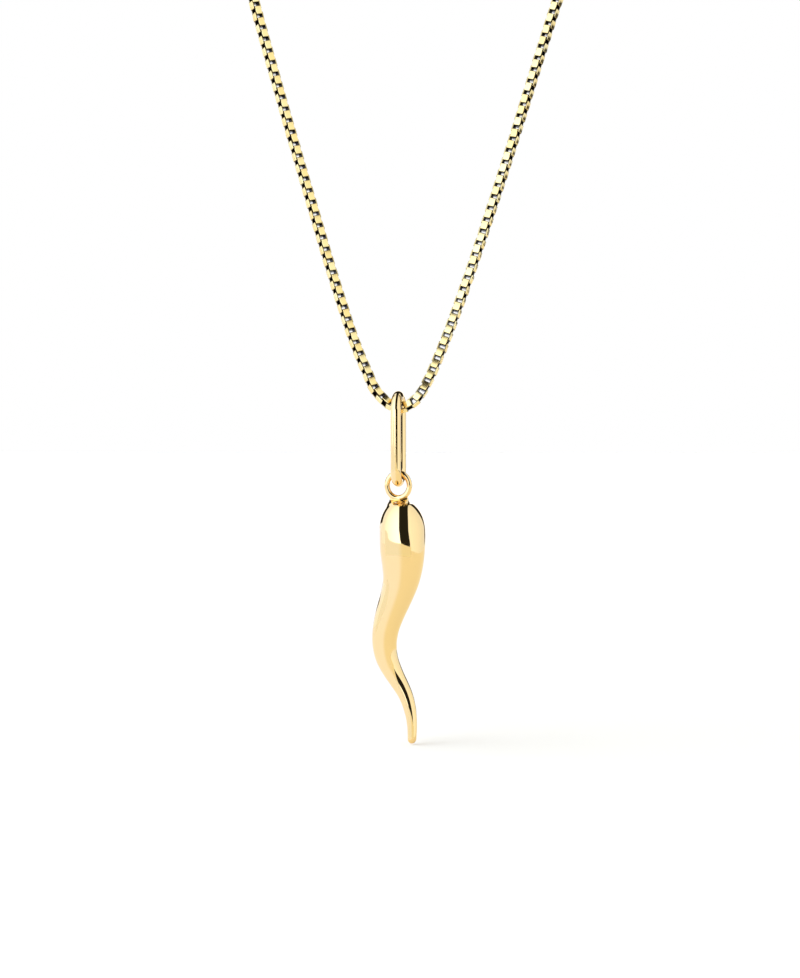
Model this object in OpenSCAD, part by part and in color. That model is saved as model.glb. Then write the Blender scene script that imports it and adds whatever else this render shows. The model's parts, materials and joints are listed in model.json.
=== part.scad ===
// Cornicello horn pendant on a box chain, hanging as a neck would hold it.
// Millimetres, +Z up, +X to the wearer's left, -Y to the front.
// The origin is at the nape, where the clasp lies against the neck.

/* [Horn] */
// Height of the horn, from the top of its dome to its tip
horn_l = 26.8; // [18:0.1:45]
// Largest diameter of the horn
horn_d = 5.1; // [4:0.1:8]
// Height of the dome on the horn's top
dome_h = 3.4; // [2.4:0.1:5]
// Height of the rounded end at the horn's tip
tip_h = 0.5; // [0.3:0.05:1]

/* [Soldered ring] */
// Outer width of the ring on the dome
ring_w = 3.1; // [2.9:0.05:4.5]
// Outer height of the ring, which is a little taller than wide
ring_h = 3.4; // [2.9:0.05:5]
// Thickness of the ring's wire
ring_wire = 0.6; // [0.4:0.05:0.65]
// Depth to which the ring's foot is sunk into the dome
ring_sink = 0.15; // [0.05:0.05:0.3]
// Width of the solder collar at the ring's foot
collar_w = 2.1; // [1.6:0.05:2.4]
// Thickness of the collar, front to back
collar_t = 0.65; // [0.6:0.05:1.2]
// Height of the collar above the dome
collar_h = 0.3; // [0.2:0.05:0.45]
// Depth at which the collar has run out into the dome
collar_sink = 0.6; // [0.4:0.05:1]

/* [Bail] */
// Overall height of the long oval bail
bail_l = 10.6; // [8:0.1:16]
// Thickness of the bail's wire
bail_wire = 1.15; // [0.8:0.05:1.2]
// Clear width between the bail's two legs
bail_gap = 1.8; // [1.5:0.05:2.6]

/* [Chain] */
// Width of the box chain, over two opposite faces
chain_w = 1.05; // [0.7:0.05:1.1]
// Width of the strip that each box link is folded from
strip_w = 0.7; // [0.5:0.01:0.75]

/* [Clasp] */
// Outer diameter of the spring ring
clasp_od = 5; // [4.5:0.1:8]
// Thickness of the spring ring's tube
clasp_wire = 0.95; // [0.7:0.05:1]
// Outer diameter of the eye on the spring ring
eye_od = 2.0; // [1.8:0.1:3]
// Thickness of the eye's wire
eye_wire = 0.5; // [0.35:0.05:0.55]
// Diameter of the thumb stud
stud_d = 0.7; // [0.5:0.05:0.9]
// Outer diameter of the chain's two end rings
end_ring_od = 2.2; // [2.1:0.05:3]
// Thickness of the end rings' wire
end_ring_wire = 0.45; // [0.3:0.05:0.5]

/* [Fits] */
// Clearance between the chain's corners and the top of the bail
chain_play = 0.05; // [0.03:0.01:0.2]
// Clearance between the bail and the top of the soldered ring
ring_play = 0.05; // [0.03:0.01:0.2]
// Clearance between the clasp, the end rings and the chain
link_play = 0.08; // [0.05:0.01:0.2]

/* [Hidden] */
$fn = 48;

GOLD = "#E6BD6A";
PALE_GOLD = "#F2D694";

// Columns of the horn's sections, all of them shares
DOWN = 0;
WIDE = 1;
SIDE = 2;
BACK = 3;
// Down the height, of the largest diameter, and two sways as shares of the height
HORN_SECTIONS = [
    [0.00, 1.000, 0.003, 0.000],
    [0.13, 1.000, 0.019, -0.010],
    [0.20, 0.985, 0.020, -0.016],
    [0.27, 0.900, 0.021, -0.019],
    [0.33, 0.800, 0.015, -0.019],
    [0.40, 0.700, -0.006, -0.016],
    [0.47, 0.632, -0.033, -0.012],
    [0.53, 0.580, -0.051, -0.008],
    [0.60, 0.532, -0.057, -0.004],
    [0.66, 0.485, -0.046, -0.001],
    [0.70, 0.436, -0.028, 0.002],
    [0.73, 0.398, -0.011, 0.001],
    [0.80, 0.322, 0.032, -0.013],
    [0.86, 0.272, 0.054, -0.026],
    [0.93, 0.215, 0.065, -0.038],
    [1.00, 0.188, 0.066, -0.048],
];
horn_sides = 36;
way_step = 0.01;
dome_rings = 10;
body_rings = 38;
tip_rings = 4;
tip_close = 85;
collar_steps = 4;
collar_curve = 1.6;
wire_sides = 24;

// The chain's centre inside the bail: everything below hangs from it
BAIL_POINT = [0, -92, -142];

// Columns of the chain's route: a place seen from the bail point, and the chain's roll
ROLL = 3;
// Where the chain runs into its end rings it shows an edge, with a face on either side of it
EDGE_ON = 45;
// The way up from the bail on the wearer's left. The loop is turned a little to the pendant
ONE_STRAND = [
    [0.8, 0, 0.1, -14],
    [1.7, 0.1, 0.65, -17],
    [2.55, 0.4, 1.7, -18],
    [3.25, 0.9, 3.15, -14],
    [4.45, 1.9, 6.25, -10],
    [6.25, 3.7, 11.75, -5],
    [9.4, 7.2, 22.7, 2],
    [15.3, 14.1, 44.9, 8],
    [21, 20, 64.4, 12],
    [28.2, 25.5, 83, 20],
    [36, 32.5, 100.5, 30],
    [43.5, 40.5, 115.5, 38],
];
// The other side starts a little steeper, since the bail hangs off the loop's lowest point
OTHER_STRAND = [
    [-0.9, 0, 0.3, 6],
    [-1.8, 0.1, 1.0, 12],
    [-2.75, 0.25, 2.1, 15],
    [-3.45, 0.5, 3.5, 17],
    [-4.8, 1.1, 6.3, 20],
    [-6.9, 2.1, 11.75, 22],
    [-10.7, 4.1, 22.75, 24],
    [-18, 8.3, 44.85, 27],
    [-24.1, 12.5, 64.15, 28],
    [-30.8, 18, 83, 32],
    [-37.8, 26.5, 100.5, 36],
    [-44.8, 37.5, 115.5, 41],
];
// Over the shoulders the two sides mirror each other
ROUND_TO_NAPE = [
    [48.3, 51, 126.3, EDGE_ON],
    [46.5, 65.8, 133.8, EDGE_ON],
    [37, 80.3, 138.8, EDGE_ON],
    [23.8, 89, 141.2, EDGE_ON],
    [12, 92, 142, EDGE_ON],
];
// Faces of the chain turn to this direction where the roll is nought
CHAIN_FACES = [0, -1, 1];
chain_ring_step = 7;

// Places that follow from the sizes, seen from the bail point
bail_r = (bail_gap + bail_wire) / 2;
chain_corner_r = norm([chain_w, strip_w]) / 2;
bail_top_z = -(bail_gap / 2 - chain_corner_r - chain_play);
bail_leg = bail_l - bail_gap - 2 * bail_wire;
bail_low_z = bail_top_z - bail_leg - bail_r;
ring_stretch = ring_h / ring_w;
ring_hole_h = (ring_w - 2 * ring_wire) * ring_stretch;
ring_z = bail_low_z - (ring_hole_h / 2 - bail_wire / 2 - ring_play);
dome_z = ring_z - ring_h / 2 + ring_sink;

// Places of the clasp's pieces on the line through the nape
stud_turn = 50;
clasp_r = (clasp_od - clasp_wire) / 2;
clasp_y = clasp_wire / 2;
eye_r = (eye_od - eye_wire) / 2;
eye_x = -(clasp_od / 2 + eye_r - eye_wire / 2);
end_ring_r = (end_ring_od - end_ring_wire) / 2;
right_ring_x = clasp_r - clasp_wire / 2 - link_play + end_ring_r - end_ring_wire / 2;
left_ring_x = eye_x - eye_r + eye_wire / 2 + link_play - end_ring_r + end_ring_wire / 2;
right_end = [right_ring_x + end_ring_od / 2 + link_play, clasp_y, 0];
left_end = [left_ring_x - end_ring_od / 2 - link_play, clasp_y, 0];

// A smooth curve through the rows of a table, with its slopes taken from both neighbours
function place(row) = [row[0], row[1], row[2]];
function step_length(rows, i) = norm(place(rows[i + 1]) - place(rows[i]));
function slope(rows, steps, i) =
    i == 0 ? (rows[1] - rows[0]) / steps[0] :
    i == len(steps) ? (rows[i] - rows[i - 1]) / steps[i - 1] :
    ((rows[i] - rows[i - 1]) * steps[i] / steps[i - 1] + (rows[i + 1] - rows[i]) * steps[i - 1] / steps[i])
        / (steps[i - 1] + steps[i]);
function between(rows, steps, i, t) =
    (2 * pow(t, 3) - 3 * t * t + 1) * rows[i]
    + (pow(t, 3) - 2 * t * t + t) * steps[i] * slope(rows, steps, i)
    + (3 * t * t - 2 * pow(t, 3)) * rows[i + 1]
    + (pow(t, 3) - t * t) * steps[i] * slope(rows, steps, i + 1);

// The faces of a closed skin over rings with the same number of corners
function skin_faces(rings, sides) = concat(
    [[for (j = [0 : sides - 1]) j]],
    [for (i = [0 : rings - 2], j = [0 : sides - 1])
        let (k = (j + 1) % sides)
        [i * sides + j, (i + 1) * sides + j, (i + 1) * sides + k, i * sides + k]],
    [[for (j = [sides - 1 : -1 : 0]) (rings - 1) * sides + j]]
);

// The horn's row at a share of its height
function down_steps(rows) = [for (i = [0 : len(rows) - 2]) rows[i + 1][DOWN] - rows[i][DOWN]];
function row_below(rows, share, i = 0) =
    i < len(rows) - 2 && rows[i + 1][DOWN] <= share ? row_below(rows, share, i + 1) : i;
function horn_row(share) =
    let (
        steps = down_steps(HORN_SECTIONS),
        i = row_below(HORN_SECTIONS, share)
    )
    between(HORN_SECTIONS, steps, i, (share - HORN_SECTIONS[i][DOWN]) / steps[i]);

// The dome and the tip round the horn's ends off, as ellipses do
function dome_round(down) = down < dome_h ? sqrt(max(0, 1 - pow(1 - down / dome_h, 2))) : 1;
function tip_round(up) = up < tip_h ? sqrt(max(0, 1 - pow(1 - up / tip_h, 2))) : 1;
function horn_radius(share) =
    horn_row(share)[WIDE] * horn_d / 2 * dome_round(share * horn_l) * tip_round((1 - share) * horn_l);
function horn_middle(share) =
    let (row = horn_row(share))
    [row[SIDE] * horn_l, row[BACK] * horn_l, -share * horn_l];
function horn_way(share) =
    let (
        below = horn_middle(min(1, share + way_step)),
        above = horn_middle(max(0, share - way_step))
    )
    (below - above) / norm(below - above);

// Shares of the height at which the rings stand, closer together where the ends round off
horn_shares = concat(
    [for (i = [0.5 : dome_rings]) (1 - cos(90 * i / dome_rings)) * dome_h / horn_l],
    [for (i = [1 : body_rings]) let (t = i / body_rings) (dome_h + t * (horn_l - dome_h - tip_h)) / horn_l],
    [for (i = [1 : tip_rings]) 1 - (1 - sin(tip_close * i / tip_rings)) * tip_h / horn_l]
);

// One ring, square to the horn's middle line
function horn_ring(share) =
    let (
        middle = horn_middle(share),
        way = horn_way(share),
        across = cross([0, 1, 0], way) / norm(cross([0, 1, 0], way)),
        front = cross(way, across),
        r = horn_radius(share)
    )
    [for (j = [0 : horn_sides - 1])
        let (a = 360 * j / horn_sides)
        middle + r * (cos(a) * across + sin(a) * front)];

// A ring of round wire that lies flat
module wire_ring(r, wire, part = 360) {
    rotate_extrude(angle = part)
        translate([r, 0])
            circle(d = wire, $fn = wire_sides);
}

// The collar flares from the ring's foot down to where it meets the dome
module collar() {
    neck_r = collar_w / 2;
    foot_r = horn_d / 2 * dome_round(collar_sink);
    flare = [for (i = [0 : collar_steps])
        let (t = i / collar_steps)
        [neck_r + (foot_r - neck_r) * pow(t, collar_curve), -collar_sink * t]];
    scale([1, collar_t / collar_w, 1])
        rotate_extrude()
            polygon(concat(
                [[0, collar_h], [neck_r - collar_h / 2, collar_h], [neck_r, collar_h / 2]],
                flare,
                [[0, -collar_sink]]
            ));
}

module horn() {
    color(GOLD)
        translate(BAIL_POINT) {
            translate([0, 0, ring_z])
                rotate([90, 0, 0])
                    scale([1, ring_stretch, 1])
                        wire_ring((ring_w - ring_wire) / 2, ring_wire);
            translate([0, 0, dome_z]) {
                translate(horn_middle(0))
                    collar();
                polyhedron(
                    points = [for (share = horn_shares) each horn_ring(share)],
                    faces = skin_faces(len(horn_shares), horn_sides)
                );
            }
        }
}

module bail() {
    color(GOLD)
        translate(BAIL_POINT + [0, 0, bail_top_z])
            rotate([90, 0, 90]) {
                wire_ring(bail_r, bail_wire, 180);
                translate([0, -bail_leg, 0])
                    rotate([0, 0, 180])
                        wire_ring(bail_r, bail_wire, 180);
                for (side = [-1, 1])
                    translate([side * bail_r, 0, 0])
                        rotate([90, 0, 0])
                            cylinder(d = bail_wire, h = bail_leg, $fn = wire_sides);
            }
}

function mirrored(rows) = [for (row = rows) [-row[0], row[1], row[2], row[ROLL]]];
function reversed(rows) = [for (i = [len(rows) - 1 : -1 : 0]) rows[i]];
function from_bail(rows) = [for (row = rows) [each BAIL_POINT, 0] + row];
chain_route = concat(
    [[each right_end, EDGE_ON]],
    from_bail(reversed(concat(ONE_STRAND, ROUND_TO_NAPE))),
    [[each BAIL_POINT, 0]],
    from_bail(concat(OTHER_STRAND, mirrored(ROUND_TO_NAPE))),
    [[each left_end, EDGE_ON]]
);
chain_steps = [for (i = [0 : len(chain_route) - 2]) step_length(chain_route, i)];

// The middle line of the chain, a ring every few diameters
chain_line = concat(
    [for (i = [0 : len(chain_steps) - 1])
        let (parts = max(1, round(chain_steps[i] / chain_ring_step)))
        for (k = [0 : parts - 1]) between(chain_route, chain_steps, i, k / parts)],
    [chain_route[len(chain_route) - 1]]
);

// The corners of the chain's section, two box links crossed
chain_section = [for (quarter = [0 : 3], end = [-1, 1])
    let (a = 90 * quarter, half = [chain_w / 2, end * strip_w / 2])
    [cos(a) * half[0] - sin(a) * half[1], sin(a) * half[0] + cos(a) * half[1]]];

function chain_ring(i) =
    let (
        last = len(chain_line) - 1,
        ahead = place(chain_line[min(i + 1, last)]) - place(chain_line[max(i - 1, 0)]),
        way = ahead / norm(ahead),
        facing = CHAIN_FACES - (CHAIN_FACES * way) * way,
        front = facing / norm(facing),
        across = cross(front, way),
        roll = chain_line[i][ROLL]
    )
    [for (corner = chain_section)
        place(chain_line[i])
            + (cos(roll) * corner[0] - sin(roll) * corner[1]) * across
            + (sin(roll) * corner[0] + cos(roll) * corner[1]) * front];

module chain() {
    color(PALE_GOLD)
        polyhedron(
            points = [for (i = [0 : len(chain_line) - 1]) each chain_ring(i)],
            faces = skin_faces(len(chain_line), len(chain_section))
        );
}

module clasp() {
    color(GOLD)
        translate([0, clasp_y, 0]) {
            rotate([90, 0, 0])
                wire_ring(clasp_r, clasp_wire);
            translate([eye_x, 0, 0])
                rotate([90, 0, 0])
                    wire_ring(eye_r, eye_wire);
            rotate([0, stud_turn, 0])
                translate([0, 0, clasp_r])
                    cylinder(d = stud_d, h = clasp_wire / 2 + stud_d, $fn = wire_sides);
        }
}

module end_ring(x) {
    color(GOLD)
        translate([x, clasp_y, 0])
            wire_ring(end_ring_r, end_ring_wire);
}

module end_ring_left() {
    end_ring(left_ring_x);
}

module end_ring_right() {
    end_ring(right_ring_x);
}

horn();
bail();
chain();
clasp();
end_ring_left();
end_ring_right();
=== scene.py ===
# %% [markdown]
# # A cornicello on a box chain
# A cornicello is a small solid gold horn, worn as a charm. This one hangs from a ring that is
# soldered to its dome, on a long oval bail, on a Venetian box chain. The script builds the
# looks of each piece round a plain solid model that is already the right size, and it goes
# piece by piece, so that each cell can be run and looked at by itself.

# %% Load the solid model that everything is built round
import json
import math
import random

import bmesh
import bpy
from mathutils import Matrix, Vector


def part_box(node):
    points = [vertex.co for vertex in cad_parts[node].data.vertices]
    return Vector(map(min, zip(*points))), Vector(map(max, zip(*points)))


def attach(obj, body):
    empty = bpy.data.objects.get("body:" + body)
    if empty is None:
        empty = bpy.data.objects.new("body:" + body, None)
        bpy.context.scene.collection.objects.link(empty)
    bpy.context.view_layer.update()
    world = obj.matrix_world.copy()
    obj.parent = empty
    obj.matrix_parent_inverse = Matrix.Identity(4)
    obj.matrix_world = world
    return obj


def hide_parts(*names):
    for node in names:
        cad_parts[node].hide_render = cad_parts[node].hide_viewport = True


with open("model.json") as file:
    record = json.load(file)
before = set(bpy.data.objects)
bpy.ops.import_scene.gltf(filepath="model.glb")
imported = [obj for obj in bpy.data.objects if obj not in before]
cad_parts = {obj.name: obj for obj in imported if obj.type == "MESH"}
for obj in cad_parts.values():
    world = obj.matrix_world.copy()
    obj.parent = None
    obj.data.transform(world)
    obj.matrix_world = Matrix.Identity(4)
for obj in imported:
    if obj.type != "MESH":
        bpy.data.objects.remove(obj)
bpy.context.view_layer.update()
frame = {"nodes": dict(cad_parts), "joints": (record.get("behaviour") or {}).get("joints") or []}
joint_places = {joint["name"]: Vector(joint["pos_m"]) for joint in frame["joints"]}
print("nodes:", ", ".join(sorted(frame["nodes"])))

# %% [markdown]
# ## Units and small helpers
# Jewellery is measured in millimetres and Blender works in metres, so every size below is
# in millimetres and goes through one factor. An operator in Blender acts on whatever is
# selected, so each piece begins with nothing selected, and edges are picked by their place.

# %% Helpers for modelling
MM = 0.001
# Edges sharper than this many degrees stay crisp
CREASE = 38
# A face whose normal runs this much along an axis lies flat to it
FLAT = 0.9


def start_piece(primitive, name, **settings):
    """Add a primitive with nothing else selected, and put its place into its mesh."""
    bpy.ops.object.select_all(action="DESELECT")
    primitive(**settings)
    piece = bpy.context.active_object
    piece.name = name
    piece.data.name = name
    bpy.ops.object.transform_apply(location=True, rotation=True, scale=True)
    return piece


def wire_ring(name, radius, wire, turns, sides, middle=(0, 0, 0), standing=True):
    """A ring of round wire, given in millimetres, that stands in the plane of X and Z or lies."""
    return start_piece(
        bpy.ops.mesh.primitive_torus_add, name,
        major_segments=turns, minor_segments=sides,
        major_radius=radius * MM, minor_radius=wire / 2 * MM,
        location=Vector(middle) * MM, rotation=(math.radians(90) if standing else 0, 0, 0),
    )


def pick(piece, chosen, kind="verts"):
    """In edit mode, select just the vertices, edges or faces for which chosen is true."""
    bpy.ops.mesh.select_mode(type={"verts": "VERT", "edges": "EDGE", "faces": "FACE"}[kind])
    bpy.ops.mesh.select_all(action="DESELECT")
    mesh = bmesh.from_edit_mesh(piece.data)
    for part in getattr(mesh, kind):
        if chosen(part):
            part.select_set(True)
    mesh.select_flush_mode()
    bmesh.update_edit_mesh(piece.data)


def turn(angle, axis, centre):
    """Turn the selection by the right-hand rule, which with no window needs the sign swapped."""
    bpy.ops.transform.rotate(value=-angle, orient_axis=axis, center_override=centre)


def apply_modifier(piece, kind, **settings):
    """Add a modifier with its settings and apply it at once."""
    modifier = piece.modifiers.new(kind.title(), kind)
    for key, value in settings.items():
        setattr(modifier, key, value)
    bpy.context.view_layer.objects.active = piece
    bpy.ops.object.modifier_apply(modifier=modifier.name)


def edit_mode(on=True):
    """Go in or out of edit mode. Going in, vertices are what gets selected."""
    bpy.ops.object.mode_set(mode="EDIT" if on else "OBJECT")
    if on:
        bpy.ops.mesh.select_mode(type="VERT")


def shade(piece, degrees=CREASE):
    """Shade smooth, and keep the edges that are sharper than this angle crisp."""
    bpy.ops.object.select_all(action="DESELECT")
    piece.select_set(True)
    bpy.context.view_layer.objects.active = piece
    bpy.ops.object.shade_smooth_by_angle(angle=math.radians(degrees))


def tell(piece):
    """Print what a piece came to."""
    corners = [piece.matrix_world @ Vector(corner) for corner in piece.bound_box]
    size = [(max(c[i] for c in corners) - min(c[i] for c in corners)) / MM for i in range(3)]
    faces = sum(len(face.vertices) - 2 for face in piece.data.polygons)
    print(f"{piece.name}: {size[0]:.2f} x {size[1]:.2f} x {size[2]:.2f} mm, {faces} triangles")


# %% [markdown]
# ## The camera
# The picture was taken with a long lens, a little above the pendant and a little to its
# right. A long lens keeps upright lines upright. The camera is set first, so that every
# later piece can be judged through it. It looks at the middle of the picture, which is
# found from one sure point: where the chain crosses the bail.

# %% Place the camera
PHOTO_W, PHOTO_H = 800, 978
MM_PER_PX = 0.11
CAMERA_AZIMUTH = math.radians(11)
CAMERA_ELEVATION = math.radians(3)
CAMERA_DISTANCE = 900
SENSOR = 36
BAIL_PX = (398.3, 407.4)
bail_point = joint_places["bail_swing"]

to_camera = Vector((
    math.sin(CAMERA_AZIMUTH) * math.cos(CAMERA_ELEVATION),
    -math.cos(CAMERA_AZIMUTH) * math.cos(CAMERA_ELEVATION),
    math.sin(CAMERA_ELEVATION),
))
screen_right = Vector((math.cos(CAMERA_AZIMUTH), math.sin(CAMERA_AZIMUTH), 0))
screen_up = to_camera.cross(screen_right)
looks_at = bail_point + MM * MM_PER_PX * (
    (PHOTO_W / 2 - BAIL_PX[0]) * screen_right - (PHOTO_H / 2 - BAIL_PX[1]) * screen_up
)
bpy.ops.object.camera_add(
    location=looks_at + CAMERA_DISTANCE * MM * to_camera,
    rotation=to_camera.to_track_quat("Z", "Y").to_euler(),
)
camera = bpy.context.active_object
camera.name = "camera"
camera.data.sensor_width = SENSOR
camera.data.lens = SENSOR * CAMERA_DISTANCE / (PHOTO_H * MM_PER_PX)
camera.data.clip_end = 10
bpy.context.scene.camera = camera
print(f"camera: {camera.data.lens:.0f} mm lens at {CAMERA_DISTANCE} mm")

# %% [markdown]
# ## Smooth curves through a few rows
# A jeweller draws a horn or a chain's fall from a few sure points and lets the curve run
# smoothly between them. The same is done here: a cubic between each two rows of a table,
# with its slope at a row taken from both neighbours. It serves the horn and the chain.

# %% A smooth curve through the rows of a table
def slope(rows, steps, i):
    """The slope at a row, weighed by how near its two neighbours are."""
    if i == 0:
        return (rows[1] - rows[0]) / steps[0]
    if i == len(steps):
        return (rows[i] - rows[i - 1]) / steps[i - 1]
    before = (rows[i] - rows[i - 1]) * (steps[i] / steps[i - 1])
    after = (rows[i + 1] - rows[i]) * (steps[i - 1] / steps[i])
    return (before + after) / (steps[i - 1] + steps[i])


def between(rows, steps, i, t):
    """The point at a share t of the way from row i to the next."""
    return (
        (2 * t**3 - 3 * t**2 + 1) * rows[i]
        + (t**3 - 2 * t**2 + t) * steps[i] * slope(rows, steps, i)
        + (3 * t**2 - 2 * t**3) * rows[i + 1]
        + (t**3 - t**2) * steps[i] * slope(rows, steps, i + 1)
    )


# %% [markdown]
# ## The horn
# The horn is cast solid and polished by hand: a dome on top, a full body, and a tail that
# twists once to the left and once to the right. It could be a curve with a round bevel, but
# a curve's rings bunch up at the tip. Here a circle is extruded ring by ring down the middle
# line, and each ring is moved, scaled and turned as one would by hand. Twenty-four sides
# and a subdivision surface then give the even surface that a mirror polish needs. The table
# gives each ring's place and width as shares of the horn's height and diameter.

# %% The horn's sizes and sections
HORN_L, HORN_D = 26.8, 5.1
DOME_H, TIP_H = 3.4, 0.5
RING_W, RING_H, RING_WIRE, RING_SINK = 3.1, 3.4, 0.6, 0.15
COLLAR_W, COLLAR_T, COLLAR_SINK, COLLAR_CURVE = 2.1, 0.64, 0.6, 1.6
BAIL_L, BAIL_WIRE, BAIL_GAP = 10.6, 1.15, 1.8
CHAIN_W, STRIP_W = 1.05, 0.7
CHAIN_PLAY = RING_PLAY = 0.05

# Down the height, of the largest diameter, and two sways as shares of the height
HORN_SECTIONS = [Vector(row) for row in (
    (0.00, 1.000, 0.003, 0.000),
    (0.13, 1.000, 0.019, -0.010),
    (0.20, 0.985, 0.020, -0.016),
    (0.27, 0.900, 0.021, -0.019),
    (0.33, 0.800, 0.015, -0.019),
    (0.40, 0.700, -0.006, -0.016),
    (0.47, 0.632, -0.033, -0.012),
    (0.53, 0.580, -0.051, -0.008),
    (0.60, 0.532, -0.057, -0.004),
    (0.66, 0.485, -0.046, -0.001),
    (0.70, 0.436, -0.028, 0.002),
    (0.73, 0.398, -0.011, 0.001),
    (0.80, 0.322, 0.032, -0.013),
    (0.86, 0.272, 0.054, -0.026),
    (0.93, 0.215, 0.065, -0.038),
    (1.00, 0.188, 0.066, -0.048),
)]
horn_steps = [low[0] - high[0] for high, low in zip(HORN_SECTIONS, HORN_SECTIONS[1:])]

# Heights that follow from the sizes, seen from the bail point
bail_r = (BAIL_GAP + BAIL_WIRE) / 2
bail_top_z = -(BAIL_GAP / 2 - math.hypot(CHAIN_W, STRIP_W) / 2 - CHAIN_PLAY)
bail_leg = BAIL_L - BAIL_GAP - 2 * BAIL_WIRE
bail_low_z = bail_top_z - bail_leg - bail_r
ring_stretch = RING_H / RING_W
ring_hole_h = (RING_W - 2 * RING_WIRE) * ring_stretch
ring_z = bail_low_z - (ring_hole_h / 2 - BAIL_WIRE / 2 - RING_PLAY)
dome_z = ring_z - RING_H / 2 + RING_SINK


def horn_row(share):
    """The table's row at a share of the horn's height, from the top."""
    i = max(k for k in range(len(horn_steps)) if k == 0 or HORN_SECTIONS[k][0] <= share)
    return between(HORN_SECTIONS, horn_steps, i, (share - HORN_SECTIONS[i][0]) / horn_steps[i])


def rounded(depth, reach):
    """The share of its full width that a rounded end has at a depth, as an ellipse's."""
    return math.sqrt(max(0, 1 - (1 - depth / reach) ** 2)) if depth < reach else 1


def horn_radius(share):
    """Half the horn's width there, in millimetres, with both ends rounded off."""
    ends = rounded(share * HORN_L, DOME_H) * rounded((1 - share) * HORN_L, TIP_H)
    return horn_row(share)[1] * HORN_D / 2 * ends


def horn_middle(share):
    """Where the horn's middle line runs there, from the dome's top."""
    row = horn_row(share)
    return Vector((row[2], row[3], -share)) * HORN_L


def horn_way(share, step=0.01):
    """Which way the middle line runs there."""
    return (horn_middle(min(1, share + step)) - horn_middle(max(0, share - step))).normalized()


print(f"dome top {dome_z:.2f} mm and tip {dome_z - HORN_L:.2f} mm below the bail point")

# %% [markdown]
# The rings are listed first, from the collar's top down to the tip. The solder under the
# hanging ring draws up into a low oval ridge, which runs out into the dome. It is the same
# skin: its rings come first, as thick as the wire from front to back and wider from side to
# side, and they open out until they meet the dome's own round.

# %% List the horn's rings
HORN_SIDES = 24
BODY_RINGS = 34
SMOOTHING_LEVELS = 2
# A subdivision surface runs inside its cage by this share on a ring of that many sides
cage_shrink = (2 + math.cos(2 * math.pi / HORN_SIDES)) / 3
# The ridge's cap: height over the dome, then shares of its width and of its thickness
COLLAR_CAP = [
    (0.3, 0.75, 0.3), (0.28, 0.9, 0.55), (0.19, 0.99, 0.75), (0.08, 1.0, 0.9), (0, 1.0, 1.0),
]
COLLAR_FLARE = (0.15, 0.35, 0.55, 0.75)
DOME_DEPTHS = (0.6, 0.8, 1.05, 1.4, 1.85, 2.4, 2.95, 3.5)
TIP_TURNS = (25, 45, 62, 76)

neck = Vector((COLLAR_W / 2, COLLAR_T / 2))
top = horn_middle(0)
down = Vector((0, 0, -1))
horn_rings = [
    (top - height * down, neck.x * wide, neck.y * thick, down)
    for height, wide, thick in COLLAR_CAP
]
foot_r = HORN_D / 2 * rounded(COLLAR_SINK, DOME_H)
for t in COLLAR_FLARE:
    depth = COLLAR_SINK * t
    wide = neck.x + (foot_r - neck.x) * t**COLLAR_CURVE
    thick = max(neck.y, HORN_D / 2 * rounded(depth, DOME_H))
    horn_rings.append((top + depth * down, wide, thick, down))
shares = [depth / HORN_L for depth in DOME_DEPTHS]
body_end = 1 - TIP_H / HORN_L
shares += [shares[-1] + (body_end - shares[-1]) * (i + 1) / BODY_RINGS for i in range(BODY_RINGS)]
shares += [1 - (1 - math.sin(math.radians(a))) * TIP_H / HORN_L for a in TIP_TURNS]
horn_rings += [(horn_middle(s), horn_radius(s), horn_radius(s), horn_way(s)) for s in shares]
print(len(horn_rings), "rings")

# %% Extrude the horn ring by ring
dome_place = bail_point / MM + Vector((0, 0, dome_z))


def tilts(way):
    """How far a ring leans to the side and to the back, from lying level."""
    return math.atan2(-way.x, -way.z), math.atan2(way.y, -way.z)


middle, wide, thick, way = horn_rings[0]
horn = start_piece(
    bpy.ops.mesh.primitive_circle_add, "horn_with_ring",
    vertices=HORN_SIDES, radius=MM / cage_shrink, fill_type="NOTHING",
    location=(dome_place + middle) * MM,
)
edit_mode()
bpy.ops.mesh.select_all(action="SELECT")
bpy.ops.transform.resize(value=(wide, thick, 1), center_override=(dome_place + middle) * MM)
for last, (middle, wide, thick, way) in zip(horn_rings, horn_rings[1:]):
    last_middle, last_wide, last_thick, last_way = last
    centre = (dome_place + middle) * MM
    bpy.ops.mesh.extrude_region_move(
        TRANSFORM_OT_translate={"value": (middle - last_middle) * MM}
    )
    growth = Vector((wide / last_wide, thick / last_thick, wide / last_wide))
    bpy.ops.transform.resize(value=growth, center_override=centre)
    side, back = tilts(way)
    last_side, last_back = tilts(last_way)
    turn(side - last_side, "Y", centre)
    turn(back - last_back, "X", centre)
pick(horn, lambda edge: edge.is_boundary, "edges")
bpy.ops.mesh.fill_holes(sides=0)
pick(horn, lambda face: len(face.verts) == HORN_SIDES, "faces")
bpy.ops.mesh.poke()
bpy.ops.mesh.select_all(action="SELECT")
bpy.ops.mesh.normals_make_consistent(inside=False)
edit_mode(False)
apply_modifier(horn, "SUBSURF", levels=SMOOTHING_LEVELS, render_levels=SMOOTHING_LEVELS)
tell(horn)

# %% [markdown]
# ## The soldered ring
# The ring that the horn hangs by is a round wire, closed and soldered into the collar. On
# the real pendant it is one metal with the horn, so it is joined with a Boolean union and
# not just pushed in: the two skins become one, with the solder's crease between them.

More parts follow.
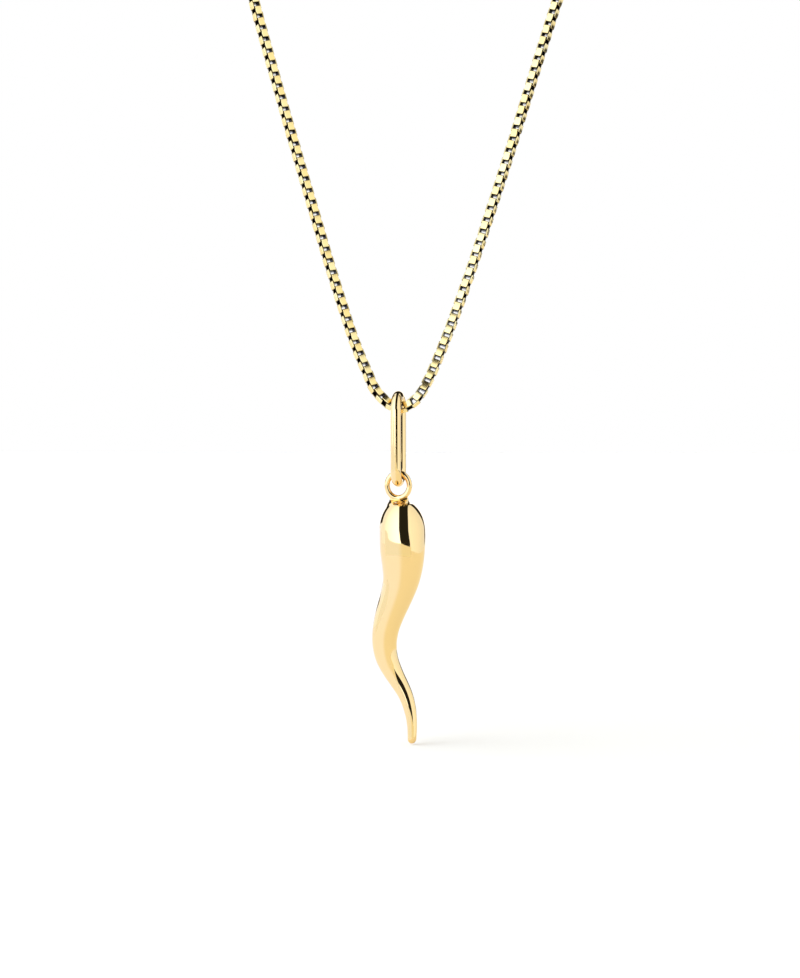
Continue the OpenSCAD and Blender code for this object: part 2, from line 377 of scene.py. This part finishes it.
# %% Solder the ring on
RING_TURNS, RING_SIDES = 72, 20
ring_r = (RING_W - RING_WIRE) / 2
hanging_ring = wire_ring("hanging_ring", ring_r, RING_WIRE, RING_TURNS, RING_SIDES)
edit_mode()
bpy.ops.mesh.select_all(action="SELECT")
bpy.ops.transform.resize(value=(1, 1, ring_stretch))
bpy.ops.transform.translate(value=bail_point + Vector((0, 0, ring_z)) * MM)
edit_mode(False)
apply_modifier(horn, "BOOLEAN", operation="UNION", solver="EXACT", object=hanging_ring)
bpy.data.objects.remove(hanging_ring)
shade(horn)
tell(horn)

# %% [markdown]
# ## The bail
# The bail is one length of round wire, bent into a long oval and closed. It could be a curve
# with a bevel, but here the wire's end circle is drawn up as a leg, spun half a turn over
# the top, drawn down as the other leg and spun shut, as the wire is bent on a mandrel.

# %% Bend the bail
BAIL_SIDES = 28
LEG_PARTS = 8
ARCH_STEPS = 26
# Points closer than this are one
MERGE = 0.002
arch_top = bail_point + Vector((0, 0, bail_top_z)) * MM
arch_low = arch_top + Vector((0, 0, -bail_leg)) * MM
bail = start_piece(
    bpy.ops.mesh.primitive_circle_add, "oval_bail",
    vertices=BAIL_SIDES, radius=BAIL_WIRE / 2 * MM, fill_type="NOTHING",
    location=arch_low + Vector((0, -bail_r, 0)) * MM,
)
edit_mode()
bpy.ops.mesh.select_all(action="SELECT")
for up, centre in ((1, arch_top), (-1, arch_low)):
    for part in range(LEG_PARTS):
        bpy.ops.mesh.extrude_region_move(
            TRANSFORM_OT_translate={"value": (0, 0, up * bail_leg / LEG_PARTS * MM)}
        )
    bpy.ops.mesh.spin(steps=ARCH_STEPS, angle=math.radians(180), center=centre, axis=(1, 0, 0))
bpy.ops.mesh.select_all(action="SELECT")
bpy.ops.mesh.remove_doubles(threshold=MERGE * MM)
bpy.ops.mesh.normals_make_consistent(inside=False)
edit_mode(False)
shade(bail)
tell(bail)

# %% [markdown]
# ## One box link
# A Venetian box chain is made from flat strip. Each link is folded to a square frame that
# is as deep as the strip is wide, and each frame is turned a quarter from its neighbours.
# One link is modelled well: a block with its two open sides inset and bridged through, its
# four folds rounded and its rims eased, which is where such a link catches the light. The
# chain needs hundreds of them, so it keeps to a few dozen faces.

# %% Fold one link
STRIP_T = 0.17
LINK_PITCH = 0.6875
FOLD_R = 0.12
RIM_EASE = 0.03
LINK_CREASE = 32
# How many times faster than the fold's round the painted shade gathers on it
SHADE_RISE = 1.5
link_l = LINK_PITCH + 2 * STRIP_T

link = start_piece(
    bpy.ops.mesh.primitive_cube_add, "box_link",
    size=1, scale=Vector((link_l, CHAIN_W, STRIP_W)) * MM,
)
edit_mode()
pick(link, lambda face: abs(face.normal.z) > FLAT, "faces")
bpy.ops.mesh.inset(thickness=STRIP_T * MM, use_individual=True)
bpy.ops.mesh.bridge_edge_loops()


def at_outside(vert):
    """On the outer face of the folded strip."""
    return (
        abs(abs(vert.co.x) - link_l / 2 * MM) < RIM_EASE / 10 * MM
        or abs(abs(vert.co.y) - CHAIN_W / 2 * MM) < RIM_EASE / 10 * MM
    )


def is_fold(edge):
    """One of the four outer corners, along the strip's width."""
    along = abs(edge.verts[0].co.z - edge.verts[1].co.z) > STRIP_W / 2 * MM
    return along and all(at_outside(vert) for vert in edge.verts)


pick(link, is_fold, "edges")
bpy.ops.mesh.bevel(offset=FOLD_R * MM, segments=2, affect="EDGES")


def is_rim(edge):
    """An edge between the outside of the strip and one of its two flat sides."""
    kinds = sorted(abs(face.normal.z) > FLAT for face in edge.link_faces)
    if kinds != [False, True]:
        return False
    outside = next(face for face in edge.link_faces if abs(face.normal.z) < FLAT)
    return outside.normal.dot(outside.calc_center_median()) > 0


pick(link, is_rim, "edges")
bpy.ops.mesh.bevel(offset=RIM_EASE * MM, segments=1, affect="EDGES")
edit_mode(False)
shade(link, LINK_CREASE)


def shade_in_recess(spot):
    """The painted shade at a point of a link: full on its inside, and more and more up its folds.
    """
    along, height = abs(spot.x), abs(spot.y)
    inside = along < (link_l - STRIP_T) / 2 * MM and height < (CHAIN_W - STRIP_T) / 2 * MM
    up_the_fold = (along / MM - link_l / 2 + FOLD_R) / FOLD_R
    return max(inside, min(1, max(0, SHADE_RISE * up_the_fold)))


# Painted shade: how far each point of the link is darkened, in its inside and up its folds
shadows = link.data.attributes.new("link_recess", "FLOAT", "POINT")
shadows.data.foreach_set("value", [float(shade_in_recess(vert.co)) for vert in link.data.vertices])
tell(link)

# %% [markdown]
# ## The chain's way
# Worn, the chain runs from the bail up both sides of the chest and round the neck to the
# clasp at the nape. The photograph shows its lower part. The rest takes the plain way
# round. The last column rolls the chain about its own line, since a box chain shows a
# face in one place and an edge in another.

# %% The chain's route, seen from the bail point in millimetres, with its roll in degrees
EDGE_ON = 45
ONE_STRAND = [
    (0.8, 0, 0.1, -14),
    (1.7, 0.1, 0.65, -17),
    (2.55, 0.4, 1.7, -18),
    (3.25, 0.9, 3.15, -14),
    (4.45, 1.9, 6.25, -10),
    (6.25, 3.7, 11.75, -5),
    (9.4, 7.2, 22.7, 2),
    (15.3, 14.1, 44.9, 8),
    (21, 20, 64.4, 12),
    (28.2, 25.5, 83, 20),
    (36, 32.5, 100.5, 30),
    (43.5, 40.5, 115.5, 38),
]
OTHER_STRAND = [
    (-0.9, 0, 0.3, 6),
    (-1.8, 0.1, 1.0, 12),
    (-2.75, 0.25, 2.1, 15),
    (-3.45, 0.5, 3.5, 17),
    (-4.8, 1.1, 6.3, 20),
    (-6.9, 2.1, 11.75, 22),
    (-10.7, 4.1, 22.75, 24),
    (-18, 8.3, 44.85, 27),
    (-24.1, 12.5, 64.15, 28),
    (-30.8, 18, 83, 32),
    (-37.8, 26.5, 100.5, 36),
    (-44.8, 37.5, 115.5, 41),
]
# Over the shoulders the two sides mirror each other
ROUND_TO_NAPE = [
    (48.3, 51, 126.3, EDGE_ON),
    (46.5, 65.8, 133.8, EDGE_ON),
    (37, 80.3, 138.8, EDGE_ON),
    (23.8, 89, 141.2, EDGE_ON),
    (12, 92, 142, EDGE_ON),
]
CHAIN_FACES = Vector((0, -1, 1))

# Sizes of the clasp, whose pieces lie on one line through the nape
CLASP_OD, CLASP_WIRE = 5, 0.95
EYE_OD, EYE_WIRE = 2.0, 0.5
STUD_D, STUD_TURN = 0.7, 50
END_RING_OD, END_RING_WIRE = 2.2, 0.45
LINK_PLAY = 0.08
clasp_r = (CLASP_OD - CLASP_WIRE) / 2
eye_r = (EYE_OD - EYE_WIRE) / 2
eye_x = -(CLASP_OD / 2 + eye_r - EYE_WIRE / 2)
end_ring_r = (END_RING_OD - END_RING_WIRE) / 2
right_ring_x = clasp_r - CLASP_WIRE / 2 - LINK_PLAY + end_ring_r - END_RING_WIRE / 2
left_ring_x = eye_x - eye_r + EYE_WIRE / 2 + LINK_PLAY - end_ring_r + END_RING_WIRE / 2

# The end links hold an end ring's wire: their middles lie this far past the wire's own
END_LINK_PAST_WIRE = 0.09
right_start = (right_ring_x + end_ring_r + END_LINK_PAST_WIRE, CLASP_WIRE / 2, 0, EDGE_ON)
left_finish = (left_ring_x - end_ring_r - END_LINK_PAST_WIRE, CLASP_WIRE / 2, 0, EDGE_ON)


def from_bail(rows):
    return [Vector(row) + Vector((*(bail_point / MM), 0)) for row in rows]


other_round = [(-x, y, z, roll) for x, y, z, roll in ROUND_TO_NAPE]
route = (
    [Vector(right_start)]
    + from_bail(reversed(ONE_STRAND + ROUND_TO_NAPE))
    + from_bail([(0, 0, 0, 0)])
    + from_bail(OTHER_STRAND + other_round)
    + [Vector(left_finish)]
)
route_steps = [(b.to_3d() - a.to_3d()).length for a, b in zip(route, route[1:])]

# %% Walk the route and space the links evenly along it
WALK_STEP = 0.05
walk = []
for i, step in enumerate(route_steps):
    parts = math.ceil(step / WALK_STEP)
    walk += [between(route, route_steps, i, k / parts) for k in range(parts)]
walk.append(route[-1])
walked = [0.0]
for a, b in zip(walk, walk[1:]):
    walked.append(walked[-1] + (b.to_3d() - a.to_3d()).length)

# An odd number of links: the quarter turns and the route's roll then bring both end
# links round the end rings' wire
link_count = 2 * round(walked[-1] / LINK_PITCH / 2) + 1
pitch = walked[-1] / (link_count - 1)


def stations(count):
    """Places along the walk at even distances, with the way there and the roll."""
    at = 0
    for k in range(count):
        distance = min(k * pitch, walked[-1])
        while at < len(walk) - 2 and walked[at + 1] < distance:
            at += 1
        share = (distance - walked[at]) / (walked[at + 1] - walked[at])
        spot = walk[at].lerp(walk[at + 1], share)
        way = (walk[at + 1] - walk[at]).to_3d().normalized()
        yield spot.to_3d(), way, spot[3]


print(f"{link_count} links at {pitch:.4f} mm on {walked[-1]:.1f} mm")

# %% [markdown]
# ## Copy the link along the route
# Every second link is turned a quarter about the chain's line. No two links of a real
# chain sit quite alike, so each copy gets a tiny turn of its own and a number that later
# shifts the tone of its gold. The copies are joined into one mesh.

# %% Copy and join the links
LINK_WOBBLE = 1.6
random.seed(12)
copies = []
for k, (spot, way, roll) in enumerate(stations(link_count)):
    front = (CHAIN_FACES - CHAIN_FACES.dot(way) * way).normalized()
    across = front.cross(way)
    quarter = math.radians(roll + 90 * (k % 2))
    height = math.cos(quarter) * across + math.sin(quarter) * front
    depth = way.cross(height)
    wobble = Matrix.Identity(4)
    for axis in "XYZ":
        wobble = wobble @ Matrix.Rotation(math.radians(random.gauss(0, LINK_WOBBLE)), 4, axis)
    frame_here = Matrix((way, height, depth)).transposed().to_4x4()
    place = Matrix.Translation(spot * MM) @ frame_here @ wobble
    copy = bpy.data.objects.new(f"link_{k}", link.data.copy())
    copy.data.transform(place)
    tone = copy.data.attributes.new("link_tone", "FLOAT", "POINT")
    tone.data.foreach_set("value", [random.random()] * len(copy.data.vertices))
    bpy.context.scene.collection.objects.link(copy)
    copies.append(copy)

bpy.ops.object.select_all(action="DESELECT")
for copy in copies:
    copy.select_set(True)
bpy.context.view_layer.objects.active = copies[0]
bpy.ops.object.join()
chain = copies[0]
chain.name = "box_chain"
chain.data.name = "box_chain"
bpy.data.objects.remove(link)
tell(chain)

# %% [markdown]
# ## The clasp and the end rings
# The clasp lies at the nape, out of the picture, so it is a plain spring ring: a tube bent
# to a ring, an eye soldered to it, and the stud that draws its tongue back. The seams
# where the tongue closes are fine grooves, made by pinching one ring of the tube's edges.

# %% Bend the spring ring
CLASP_TURNS, CLASP_SIDES = 72, 20
# The tongue's two seams, as steps round the ring
TONGUE_SEAMS = (4, 11)
GROOVE_DEPTH = 0.9
# How near a point must be to a section's middle, in wires, and to its plane, in millimetres
NEAR_TUBE, NEAR_SECTION = 0.7, 0.02
clasp_middle = Vector((0, CLASP_WIRE / 2, 0))


def pinch(piece, middle, angle, radius, wire):
    """Pinch the tube's section at an angle round the ring, seen along Y, into a groove."""
    spoke = Vector((math.cos(angle), 0, math.sin(angle)))
    centre = (middle + radius * spoke) * MM

    def on_section(vert):
        near = (vert.co - centre).length < wire * NEAR_TUBE * MM
        side = Vector((-spoke.z, 0, spoke.x))
        return near and abs((vert.co - centre).dot(side)) < NEAR_SECTION * MM

    pick(piece, on_section)
    bpy.ops.transform.resize(value=(GROOVE_DEPTH,) * 3, center_override=centre)


clasp = wire_ring("spring_ring", clasp_r, CLASP_WIRE, CLASP_TURNS, CLASP_SIDES, clasp_middle)
edit_mode()
for steps_round in TONGUE_SEAMS:
    pinch(clasp, clasp_middle, 2 * math.pi * steps_round / CLASP_TURNS, clasp_r, CLASP_WIRE)
edit_mode(False)

# %% Add the eye and the stud
EYE_TURNS, EYE_SIDES = 48, 14
STUD_SIDES, STUD_ROUNDING = 20, 4
eye_middle = clasp_middle + Vector((eye_x, 0, 0))
eye = wire_ring("eye", eye_r, EYE_WIRE, EYE_TURNS, EYE_SIDES, eye_middle)
apply_modifier(clasp, "BOOLEAN", operation="UNION", solver="EXACT", object=eye)
bpy.data.objects.remove(eye)

stud_h = CLASP_WIRE / 2 + STUD_D
stud_way = Vector((math.sin(math.radians(STUD_TURN)), 0, math.cos(math.radians(STUD_TURN))))
stud = start_piece(
    bpy.ops.mesh.primitive_cylinder_add, "stud",
    vertices=STUD_SIDES, radius=STUD_D / 2 * MM, depth=stud_h * MM,
    location=(clasp_middle + stud_way * (clasp_r + stud_h / 2)) * MM,
    rotation=(0, math.radians(STUD_TURN), 0),
)
edit_mode()
stud_top = (clasp_middle + stud_way * (clasp_r + stud_h)) * MM
pick(stud, lambda vert: (vert.co - stud_top).dot(stud_way) > -NEAR_SECTION / 2 * MM)
bpy.ops.mesh.bevel(offset=STUD_D / 4 * MM, segments=STUD_ROUNDING, affect="EDGES")
edit_mode(False)
apply_modifier(clasp, "BOOLEAN", operation="UNION", solver="EXACT", object=stud)
bpy.data.objects.remove(stud)
shade(clasp)
tell(clasp)

# %% Close the two end rings
END_RING_TURNS, END_RING_SIDES = 48, 14
# The seam's points are within this many wires of its spoke
NEAR_SPOKE = 0.52
SEAM_BACK = math.radians(90)


def end_ring(name, x):
    """A jump ring that lies level, with the fine groove of its soldered seam."""
    centre = Vector((x, CLASP_WIRE / 2, 0))
    ring = wire_ring(
        name, end_ring_r, END_RING_WIRE, END_RING_TURNS, END_RING_SIDES, centre, standing=False
    )
    spoke = Vector((math.cos(SEAM_BACK), math.sin(SEAM_BACK), 0))
    side = Vector((-spoke.y, spoke.x, 0))
    seam = (centre + end_ring_r * spoke) * MM

    def on_seam(vert):
        near = (vert.co - seam).cross(spoke).length < END_RING_WIRE * NEAR_SPOKE * MM
        return near and abs((vert.co - seam).dot(side)) < NEAR_SECTION * MM

    edit_mode()
    pick(ring, on_seam)
    bpy.ops.transform.resize(value=(GROOVE_DEPTH,) * 3, center_override=seam)
    edit_mode(False)
    shade(ring)
    tell(ring)
    return ring


end_ring_right = end_ring("end_ring_right_wire", right_ring_x)
end_ring_left = end_ring("end_ring_left_wire", left_ring_x)

# %% [markdown]
# ## Colours and nodes
# Colours are written as the hex values one reads off a screen. Light adds up in linear
# numbers, so one function turns hex into linear. One more adds a node with its settings and
# its links. The short ones after it name what every gold below has: a pattern, a tint, a
# blur and a bump.

# %% Helpers for materials
def linear(hex_colour):
    """An sRGB hex colour as linear red, green, blue and alpha."""
    channels = [int(hex_colour[i : i + 2], 16) / 255 for i in (1, 3, 5)]
    return [c / 12.92 if c <= 0.04045 else ((c + 0.055) / 1.055) ** 2.4 for c in channels] + [1]


def add_node(tree, kind, settings=None, links=None):
    """Add a node. A setting's key is the name of a property, or else of an input."""
    node = tree.nodes.new(kind)
    for key, value in (settings or {}).items():
        if isinstance(key, str) and key in node.bl_rna.properties:
            setattr(node, key, value)
        else:
            node.inputs[key].default_value = value
    for key, source in (links or {}).items():
        tree.links.new(source, node.inputs[key])
    return node


def new_material(name):
    """An empty material, and the place of each point on its piece."""
    material = bpy.data.materials.new(name)
    material.use_nodes = True
    material.node_tree.nodes.clear()
    return material, add_node(material.node_tree, "ShaderNodeTexCoord").outputs["Object"]


def pattern(tree, where, size, detail):
    """Noise whose features are this many millimetres wide."""
    settings = {"Scale": 1 / (size * MM), "Detail": detail}
    return add_node(tree, "ShaderNodeTexNoise", settings, {"Vector": where}).outputs["Fac"]


def blend(tree, first, second, share):
    """A colour between two hex colours."""
    settings = {"data_type": "RGBA", 6: linear(first), 7: linear(second)}
    return add_node(tree, "ShaderNodeMix", settings, {0: share}).outputs[2]


def gold(tree, colour, blur, blurred_by, bump, bumped_by):
    """Metal with a blur between two values, and bumps of a strength and a height in mm."""
    roughness = add_node(
        tree, "ShaderNodeMapRange", {"To Min": blur[0], "To Max": blur[1]}, {"Value": blurred_by}
    ).outputs[0]
    bumps = add_node(
        tree, "ShaderNodeBump", {"Strength": bump[0], "Distance": bump[1] * MM},
        {"Height": bumped_by},
    ).outputs[0]
    shader = add_node(
        tree, "ShaderNodeBsdfPrincipled", {"Metallic": 1.0},
        {"Base Color": colour, "Roughness": roughness, "Normal": bumps},
    )
    add_node(tree, "ShaderNodeOutputMaterial", links={"Surface": shader.outputs[0]})


# %% [markdown]
# ## Polished gold
# The horn and the bail are 14 carat yellow gold, brought up on a felt wheel with rouge. A
# mirror polish has no colour of its own but the metal's tint, so what one sees is the
# studio, bent by the shape. It still isn't perfect: the wheel leaves hairlines that only
# blur the light a little, and the hand leaves the faintest waves.

# %% Make the polished gold
def polished_gold():
    material, where = new_material("polished_14_carat_gold")
    tree = material.node_tree
    # The alloy's tint drifts by a hair over a few millimetres
    tint = blend(tree, "#F4D089", "#F4D18E", pattern(tree, where, 4, 2))
    # Hairlines from the wheel, finer than the picture shows, so they only blur it
    hairlines = pattern(tree, where, 0.35, 3)
    # The hand's faint waves
    waves = pattern(tree, where, 2.2, 1)
    gold(tree, tint, (0.03, 0.055), hairlines, (0.1, 0.01), waves)
    return material


# %% [markdown]
# ## Chain gold
# Chain strip is a slightly paler, greener gold. A box chain is lapped flat on a wheel after
# it is linked, so its faces shine but are a touch softer than the horn. Each link takes the
# wheel a little differently, which is why neighbours differ in tone.

# %% Make the chain gold
def chain_gold():
    material, where = new_material("lapped_box_chain_gold")
    tree = material.node_tree
    tone = add_node(tree, "ShaderNodeAttribute", {"attribute_name": "link_tone"}).outputs["Fac"]
    tint = blend(tree, "#F7D37E", "#F8DE94", tone)
    # Painted shade: the links' insides and folds are darkened towards a near black
    dark = add_node(tree, "ShaderNodeAttribute", {"attribute_name": "link_recess"}).outputs["Fac"]
    colour = add_node(
        tree, "ShaderNodeMix", {"data_type": "RGBA", 7: linear("#1E1206")}, {0: dark, 6: tint}
    ).outputs[2]
    # Lapping marks, about the finest that a link's face can show
    marks = pattern(tree, where, 0.12, 2)
    gold(tree, colour, (0.18, 0.26), marks, (0.06, 0.004), marks)
    return material


# %% [markdown]
# ## Findings gold
# The clasp and the end rings are bought in and tumbled, not hand polished. Tumbling leaves
# a soft shine with a fine pebbling, and a slightly warmer tone.

# %% Make the findings gold
def findings_gold():
    material, where = new_material("tumbled_findings_gold")
    tree = material.node_tree
    pebbles = pattern(tree, where, 0.2, 2)
    tint = blend(tree, "#EFC87F", "#F2D08D", pebbles)
    gold(tree, tint, (0.12, 0.2), pebbles, (0.2, 0.006), pebbles)
    return material


# %% [markdown]
# ## Hang the pieces on the model
# Each piece rides on a body of the solid model, so that it swings as the pendant does. It
# stands for its solid, which is then hidden, and it gets the finish of the slot listed for it.

# %% Ride, replace and dress
PIECES = [
    (horn, "pendant", "horn", "polished_gold"),
    (bail, "bail", "bail", "polished_gold"),
    (chain, "necklace", "chain", "chain_gold"),
    (clasp, "necklace", "clasp", "findings_gold"),
    (end_ring_left, "necklace", "end_ring_left", "findings_gold"),
    (end_ring_right, "necklace", "end_ring_right", "findings_gold"),
]
finishes = {
    "polished_gold": polished_gold(),
    "chain_gold": chain_gold(),
    "findings_gold": findings_gold(),
}
for piece, body, node, slot in PIECES:
    piece.data.materials.clear()
    piece.data.materials.append(finishes[slot])
    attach(piece, body)
    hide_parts(node)
    print(piece.name, "rides on", body)

# %% [markdown]
# ## The studio
# Polished metal shows its surroundings, so the studio is half of the picture. Jewellery is
# shot in a white tent with a slit: a bright cool wall on the left, a softer one on the
# right, and a black gap between them that runs from the front over the top and draws the
# dark bar down the dome. Both walls end beside the horn, and the dark behind them draws its
# thin dark edges. The walls are painted on the world by direction, as seen from the
# pendant. The camera itself sees only white behind it.

# %% Paint the walls on the world
# A wall's edge at the slit, as the sideways part of a direction, and how it drifts forward
LEFT_EDGE, LEFT_DRIFT = -0.175, 0.12
RIGHT_EDGE, RIGHT_DRIFT = 0.43, -0.085
# Towards the table both edges bend to the right, by this much from this height down
LEFT_BEND, RIGHT_BEND = -0.2, -0.14
BEND_FROM = 0.16
# How far back each wall reaches: the left one further near the table, the right one less up high
LEFT_END, LEFT_LOW_END = -0.6, 0.3
RIGHT_END = {"From Min": 0.04, "From Max": 0.44, "To Min": -0.8, "To Max": -0.57}
WALLS_LOW = -0.14
BACK_FROM = -0.93
EDGE_SOFT = 0.03
# Brightness at a wall's far end and at the slit, and how far forward each of them is
LEFT_LIGHT = {"From Min": -0.3, "From Max": 0.95, "To Min": 1.85, "To Max": 3.4}
RIGHT_LIGHT = {"From Min": -0.6, "From Max": 0.85, "To Min": 1.35, "To Max": 1.7}
BACK_LIGHT = 1.6
# The dark in the slit isn't quite black
DARK = 0.02
BACKGROUND = 1.0

world = bpy.data.worlds.new("studio")
bpy.context.scene.world = world
world.use_nodes = True
tree = world.node_tree
tree.nodes.clear()


def maths(operation, *values):
    """A maths node on the world, fed with numbers or with other nodes' outputs."""
    numbers = {i: v for i, v in enumerate(values) if isinstance(v, (int, float))}
    links = {i: v for i, v in enumerate(values) if i not in numbers}
    return add_node(tree, "ShaderNodeMath", {"operation": operation, **numbers}, links).outputs[0]


def above(value, at, above_is=1.0):
    """One where the value is above an edge and nought below it, or the other way, softly."""
    settings = {
        "interpolation_type": "SMOOTHSTEP",
        "From Min": at - EDGE_SOFT / 2, "From Max": at + EDGE_SOFT / 2,
        "To Min": 1 - above_is, "To Max": above_is,
    }
    return add_node(tree, "ShaderNodeMapRange", settings, {"Value": value}).outputs[0]


direction = add_node(tree, "ShaderNodeTexCoord").outputs["Generated"]
turned = add_node(
    tree, "ShaderNodeMapping", {"Rotation": (0, 0, -CAMERA_AZIMUTH)}, {"Vector": direction}
).outputs[0]
parts = add_node(tree, "ShaderNodeSeparateXYZ", links={0: turned}).outputs
sideways, upwards = parts[0], parts[2]
forwards = maths("MULTIPLY", parts[1], -1.0)
bend = add_node(
    tree, "ShaderNodeMapRange",
    {"interpolation_type": "SMOOTHSTEP", "From Min": BEND_FROM, "From Max": 0.0},
    {"Value": upwards},
).outputs[0]
left_drift = maths("MULTIPLY_ADD", forwards, LEFT_DRIFT, sideways)
right_drift = maths("MULTIPLY_ADD", forwards, RIGHT_DRIFT, sideways)
left_at = maths("MULTIPLY_ADD", bend, LEFT_BEND, left_drift)
right_at = maths("MULTIPLY_ADD", bend, RIGHT_BEND, right_drift)
off_table = above(upwards, WALLS_LOW)
left_end = above(maths("MULTIPLY_ADD", bend, LEFT_LOW_END, forwards), LEFT_END)
right_back = add_node(tree, "ShaderNodeMapRange", RIGHT_END, {"Value": upwards}).outputs[0]
right_end = above(maths("SUBTRACT", forwards, right_back), 0.0)
left = maths("MULTIPLY", maths("MULTIPLY", left_end, off_table), above(left_at, LEFT_EDGE, 0.0))
right = maths("MULTIPLY", maths("MULTIPLY", right_end, off_table), above(right_at, RIGHT_EDGE))
back = maths("MULTIPLY", above(forwards, BACK_FROM, 0.0), off_table)

light = add_node(tree, "ShaderNodeCombineXYZ", {0: DARK, 1: DARK, 2: DARK}).outputs[0]
for shape, brightness, tint in (
    (left, LEFT_LIGHT, "#CAD9FF"),
    (right, RIGHT_LIGHT, "#DCE6FF"),
    (back, {"To Min": BACK_LIGHT, "To Max": BACK_LIGHT}, "#FFFFFF"),
):
    level = add_node(tree, "ShaderNodeMapRange", brightness, {"Value": forwards}).outputs[0]
    wall = add_node(
        tree, "ShaderNodeVectorMath", {"operation": "SCALE", 0: linear(tint)[:3]},
        {"Scale": maths("MULTIPLY", shape, level)},
    ).outputs[0]
    light = add_node(
        tree, "ShaderNodeVectorMath", {"operation": "ADD"}, {0: light, 1: wall}
    ).outputs[0]

studio = add_node(tree, "ShaderNodeBackground", links={"Color": light})
backdrop = add_node(tree, "ShaderNodeBackground", {"Color": (1, 1, 1, 1), "Strength": BACKGROUND})
is_camera = add_node(tree, "ShaderNodeLightPath").outputs["Is Camera Ray"]
both = add_node(
    tree, "ShaderNodeMixShader",
    links={0: is_camera, 1: studio.outputs[0], 2: backdrop.outputs[0]},
)
add_node(tree, "ShaderNodeOutputWorld", links={"Surface": both.outputs[0]})
bpy.context.scene.view_settings.view_transform = "Standard"
slit = [LEFT_EDGE - LEFT_DRIFT, RIGHT_EDGE - RIGHT_DRIFT]
print(f"slit from {slit[0]:.2f} to {slit[1]:.2f} sideways in front")

# %% [markdown]
# ## The table and the low card
# A plain white table stands just under the tip. It does two things: it takes the small soft
# shadow beside the tip, and the body of the horn, which stands upright, mirrors it. Its rim
# sets where the mirror image of the table ends and that of the walls begins. The light
# from the left wall lies on its left half, a little cooler and brighter than the rest. A low
# card bent round the left and the front does the same for the dome. Its top slopes down to
# the right, and the camera looks through it, since in a studio it has a slot for the lens.
# The same goes for a wide soft light from the left, which only casts the shadow.

# %% Lay the table
FLOOR_REACH, FLOOR_RIGHT = 670, 172
FLOOR_GAP = 0.12
# Where the left glow ends and the right one begins, as the sideways part of a direction
LEFT_GLOW_TO, RIGHT_GLOW_FROM = -0.45, 0.1
tip = Vector((bail_point.x, bail_point.y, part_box("horn")[0].z - FLOOR_GAP * MM))


def glowing_white(name, base, left_glow, right_glow, strength):
    """A matt white, with the light that falls on its left and on its right side."""
    material, where = new_material(name)
    nodes = material.node_tree
    way_out = add_node(
        nodes, "ShaderNodeVectorMath", {"operation": "NORMALIZE"}, {0: where}
    ).outputs[0]
    rightwards = add_node(nodes, "ShaderNodeSeparateXYZ", links={0: way_out}).outputs[0]
    share = add_node(
        nodes, "ShaderNodeMapRange",
        {
            "interpolation_type": "SMOOTHSTEP",
            "From Min": LEFT_GLOW_TO, "From Max": RIGHT_GLOW_FROM,
        },
        {"Value": rightwards},
    ).outputs[0]
    glow = blend(nodes, left_glow, right_glow, share)
    shader = add_node(
        nodes, "ShaderNodeBsdfPrincipled",
        {
            "Base Color": linear(base), "Roughness": 0.9, "Specular IOR Level": 0.1,
            "Emission Strength": strength,
        },
        {"Emission Color": glow},
    )
    add_node(nodes, "ShaderNodeOutputMaterial", links={"Surface": shader.outputs[0]})
    return material


floor = start_piece(
    bpy.ops.mesh.primitive_plane_add, "white_floor", size=2 * FLOOR_REACH * MM
)
edit_mode()
bpy.ops.mesh.select_all(action="SELECT")
bpy.ops.transform.resize(value=((FLOOR_REACH + FLOOR_RIGHT) / 2 / FLOOR_REACH, 1, 1))
bpy.ops.transform.translate(value=((FLOOR_RIGHT - FLOOR_REACH) / 2 * MM, 0, 0))
edit_mode(False)
floor.data.materials.append(glowing_white("white_table", "#E1E1CC", "#868DD8", "#745B50", 1.0))

# %% Stand up the low card
CARD_R, CARD_H, CARD_TURNS = 120, 27.5, 96
# The card reaches round by this much sideways and backwards, as shares of its radius
CARD_RIGHT, CARD_BACK = 0.72, 0.15
# Two slants of its top: height over the pendant, and fall per millimetre to the right
CARD_SLANTS = [(26.2, 0.012), (25.5, 0.1)]
card = start_piece(
    bpy.ops.mesh.primitive_circle_add, "low_card",
    vertices=CARD_TURNS, radius=CARD_R * MM, fill_type="NOTHING",
)
edit_mode()
card_right, card_back = CARD_RIGHT * CARD_R * MM, CARD_BACK * CARD_R * MM
pick(card, lambda vert: vert.co.x > card_right or vert.co.y > card_back)
bpy.ops.mesh.delete(type="VERT")
bpy.ops.mesh.select_all(action="SELECT")
bpy.ops.mesh.extrude_region_move(TRANSFORM_OT_translate={"value": (0, 0, CARD_H * MM)})
for height, fall in CARD_SLANTS:
    bpy.ops.mesh.select_all(action="SELECT")
    bpy.ops.mesh.bisect(
        plane_co=(0, 0, height * MM), plane_no=Vector((fall, 0, 1)).normalized(), clear_outer=True
    )
edit_mode(False)
card.visible_camera = card.visible_diffuse = card.visible_shadow = False
card.data.materials.append(glowing_white("lit_card", "#000000", "#D6E1FF", "#D2D5D2", 1.55))
for stand in (floor, card):
    stand.location = tip
    stand.rotation_euler = (0, 0, CAMERA_AZIMUTH)

# %% Set up the light that casts the shadow
# It comes wide and soft from the left, and the metal doesn't mirror it
SHADOW_LIGHT, SHADOW_SOFT = 1.8, math.radians(75)
LIGHT_AROUND, LIGHT_UP = math.radians(-92), math.radians(50)
bpy.ops.object.light_add(
    type="SUN", location=tip,
    rotation=(0, math.radians(90) - LIGHT_UP, LIGHT_AROUND + CAMERA_AZIMUTH - math.radians(90)),
)
soft_light = bpy.context.object
soft_light.name = "soft_light"
soft_light.data.energy, soft_light.data.angle = SHADOW_LIGHT, SHADOW_SOFT
soft_light.visible_glossy = False
print("the shadow's light comes from", round(math.degrees(LIGHT_UP)), "degrees up")
